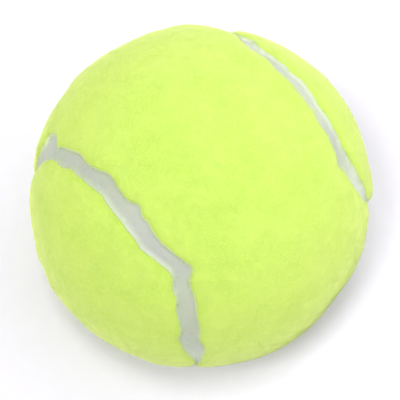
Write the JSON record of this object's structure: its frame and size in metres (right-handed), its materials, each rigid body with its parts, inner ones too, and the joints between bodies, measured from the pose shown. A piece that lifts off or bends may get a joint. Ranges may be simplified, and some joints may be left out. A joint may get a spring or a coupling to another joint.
{
  "type": "tennis ball",
  "caption": "Hollow rubber ball covered by two interlocking dog-bone panels of napped yellow felt, with a pale rubber seam sunk between them.",
  "frame": {"origin": "centre of the ball", "axes": "+Z through the middle of the upper felt panel's waist, +X along the upper panel's length, +Y along the lower panel's length; the joint of the core lies in the XY plane"},
  "size_m": [0.0664, 0.0664, 0.0666],
  "materials": {
    "core_rubber": "matte, as moulded and buffed",
    "joint_cement": "satin, cured rubber cement",
    "cover_cement": "satin, dried rubber solution",
    "felt": "raised nap of wool and nylon, steamed",
    "seam_compound": "matte, vulcanised"
  },
  "bodies": {
    "root": {"core_half_upper": "core_rubber", "core_half_lower": "core_rubber", "core_joint_cement": "joint_cement", "cement_coat": "cover_cement", "felt_panel_upper": "felt", "felt_panel_lower": "felt", "seam_rubber": "seam_compound"}
  },
  "joints": []
}
